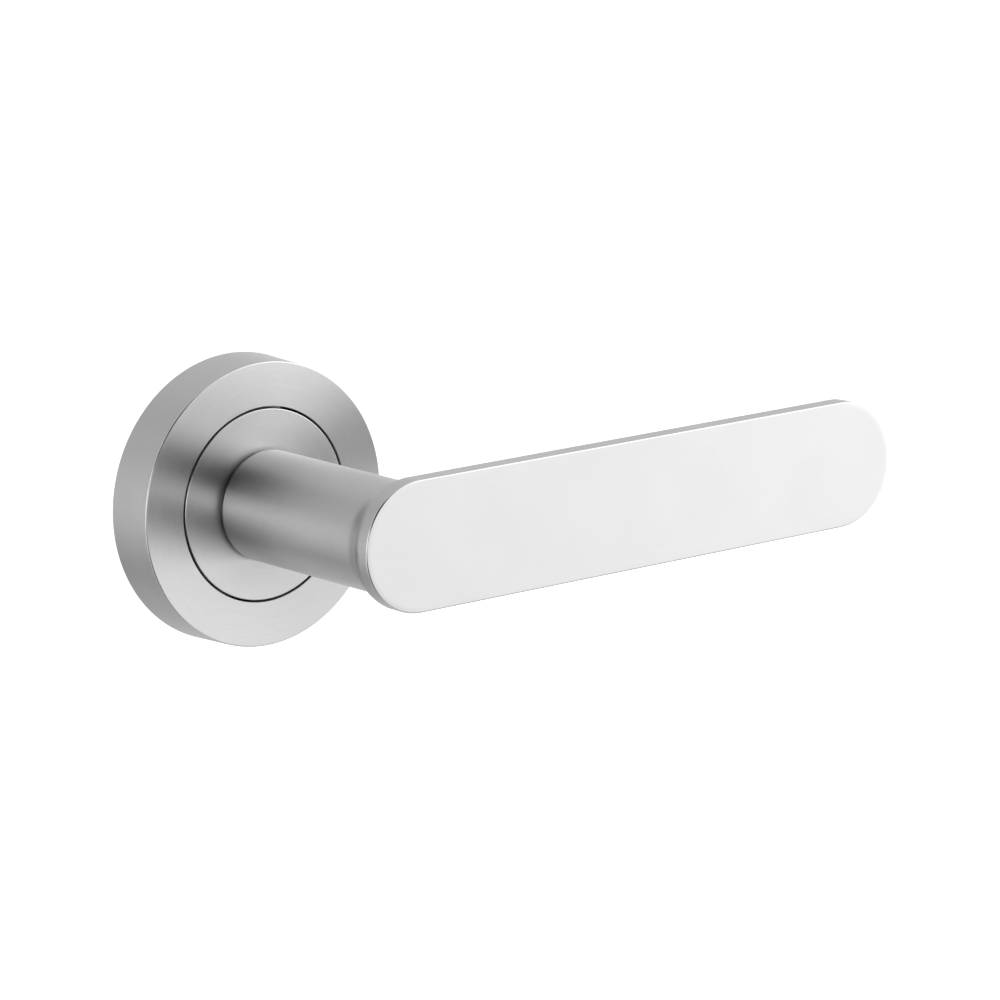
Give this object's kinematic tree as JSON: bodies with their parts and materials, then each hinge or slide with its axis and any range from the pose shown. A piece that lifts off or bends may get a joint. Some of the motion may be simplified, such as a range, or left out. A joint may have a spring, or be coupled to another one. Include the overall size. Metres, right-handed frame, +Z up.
{
  "type": "door lever handle",
  "caption": "Door lever handle: a flat blade with round ends on a round neck, sprung in a round push-on rose, with a square spindle and threaded fixing posts behind it.",
  "frame": {"origin": "centre of the rose on the door face, on the axis that the lever turns about", "axes": "+X along the lever, away from its axis; +Y into the door, along the lever's axis; +Z up"},
  "size_m": [0.1338, 0.0772, 0.052],
  "materials": {
    "satin_stainless_steel": "satin brushed",
    "zinc_plated_steel": "zinc plated, satin",
    "spring_steel": "bare spring steel, oiled",
    "black_oxide_steel": "black oxide",
    "white_nylon": "moulded, satin",
    "black_rubber": "matt"
  },
  "bodies": {
    "base": {"base_plate": "zinc_plated_steel", "bearing_bush": "white_nylon", "spring_housing": "zinc_plated_steel", "return_spring": "spring_steel", "post_upper": "zinc_plated_steel", "post_lower": "zinc_plated_steel", "wood_screw_upper": "zinc_plated_steel", "wood_screw_lower": "zinc_plated_steel", "housing_screw_left": "zinc_plated_steel", "housing_screw_right": "zinc_plated_steel", "grip_ring": "black_rubber"},
    "lever": {"lever": "satin_stainless_steel", "collar_disc": "satin_stainless_steel", "drive_plate": "zinc_plated_steel", "spindle": "zinc_plated_steel", "grub_screw": "black_oxide_steel", "rear_washer": "zinc_plated_steel", "wave_washer": "spring_steel", "circlip": "spring_steel"},
    "cover": {"rose_cover": "satin_stainless_steel"}
  },
  "joints": [
    {"name": "lever_turn", "type": "hinge", "parent": "base", "child": "lever", "pos_m": [0, 0, 0], "axis": [0, 1, 0], "range_deg": [0, 45], "stiffness_Nm_per_rad": 0.8, "springref_deg": -28.65, "deforming": ["return_spring"]},
    {"name": "cover_pull", "type": "slide", "parent": "base", "child": "cover", "axis": [0, -1, 0], "range_m": [0, 0.04]}
  ]
}
